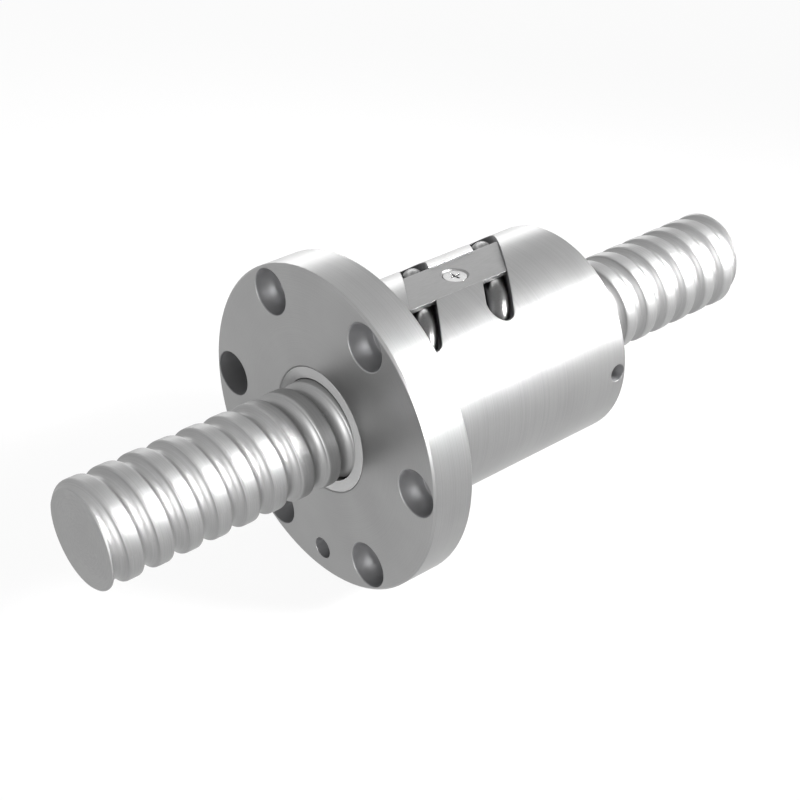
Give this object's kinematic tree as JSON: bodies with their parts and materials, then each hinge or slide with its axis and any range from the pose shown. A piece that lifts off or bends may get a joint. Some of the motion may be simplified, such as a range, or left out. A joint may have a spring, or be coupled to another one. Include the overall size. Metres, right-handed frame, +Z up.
{
  "type": "flanged ball screw",
  "caption": "Ball screw: a threaded shaft driven through a round flanged ball nut with external return tubes under a clamp plate.",
  "frame": {"origin": "centre of the flange's rear face, which seats on the machine, on the screw's axis", "axes": "+X along the screw, from the flange towards the plain end of the nut; +Z up, through the middle of the clamp plate; +Y across"},
  "size_m": [0.317, 0.128, 0.128],
  "materials": {
    "ground_shaft": "ground and bright",
    "ground_nut": "ground, satin",
    "wiper_plastic": "satin",
    "plain_steel": "plain",
    "black_screw": "black oxide",
    "clamp_steel": "milled, matte",
    "bright_screw": "zinc plated",
    "tube_steel": "drawn, satin",
    "ball_steel": "polished"
  },
  "bodies": {
    "ball_nut": {"nut_body": "ground_nut", "front_wiper": "wiper_plastic", "rear_wiper": "wiper_plastic", "wiper_set_screw": "black_screw", "oil_plug": "black_screw", "clamp_plate": "clamp_steel", "clamp_screw": "bright_screw", "front_return_tube": "tube_steel", "rear_return_tube": "tube_steel", "front_ball_train": "ball_steel", "rear_ball_train": "ball_steel"},
    "backing_rings": {"front_backing_ring": "plain_steel", "rear_backing_ring": "plain_steel"},
    "screw": {"screw_shaft": "ground_shaft"}
  },
  "joints": [
    {"name": "screw_turn", "type": "hinge", "parent": "ball_nut", "child": "backing_rings", "pos_m": [0, 0, 0], "axis": [1, 0, 0], "range_deg": [-2700, 2700]},
    {"name": "screw_travel", "type": "slide", "parent": "backing_rings", "child": "screw", "axis": [1, 0, 0], "range_m": [-0.0901, 0.0901]}
  ],
  "couplings": [
    {"joint": "screw_travel", "follows": "screw_turn", "m_per_rad": 0.0019099}
  ]
}
